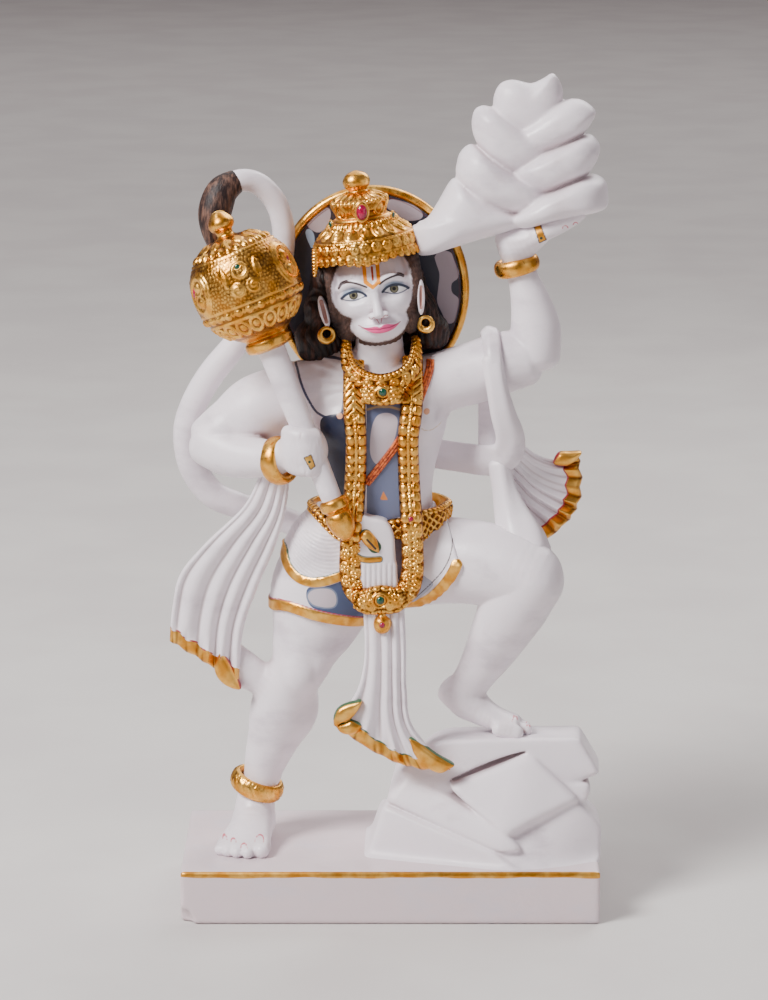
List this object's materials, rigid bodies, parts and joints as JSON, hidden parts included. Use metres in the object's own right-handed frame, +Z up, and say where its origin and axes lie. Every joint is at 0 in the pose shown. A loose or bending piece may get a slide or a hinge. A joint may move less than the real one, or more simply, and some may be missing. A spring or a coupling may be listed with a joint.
{
  "type": "marble deity statue",
  "caption": "Carved marble figure in a striding pose with one foot on a rock, holding a round-headed mace and lifting a mountain on one palm, on a rectangular plinth.",
  "frame": {"origin": "middle of the plinth's underside", "axes": "+X to the viewer's right, -Y towards the viewer, +Z up; the statue is tallest along +Z"},
  "size_m": [0.3219, 0.152, 0.6096],
  "materials": {
    "marble": "polished white marble with gold leaf and paint"
  },
  "bodies": {
    "root": {"hanuman_statue": "marble"}
  },
  "joints": []
}
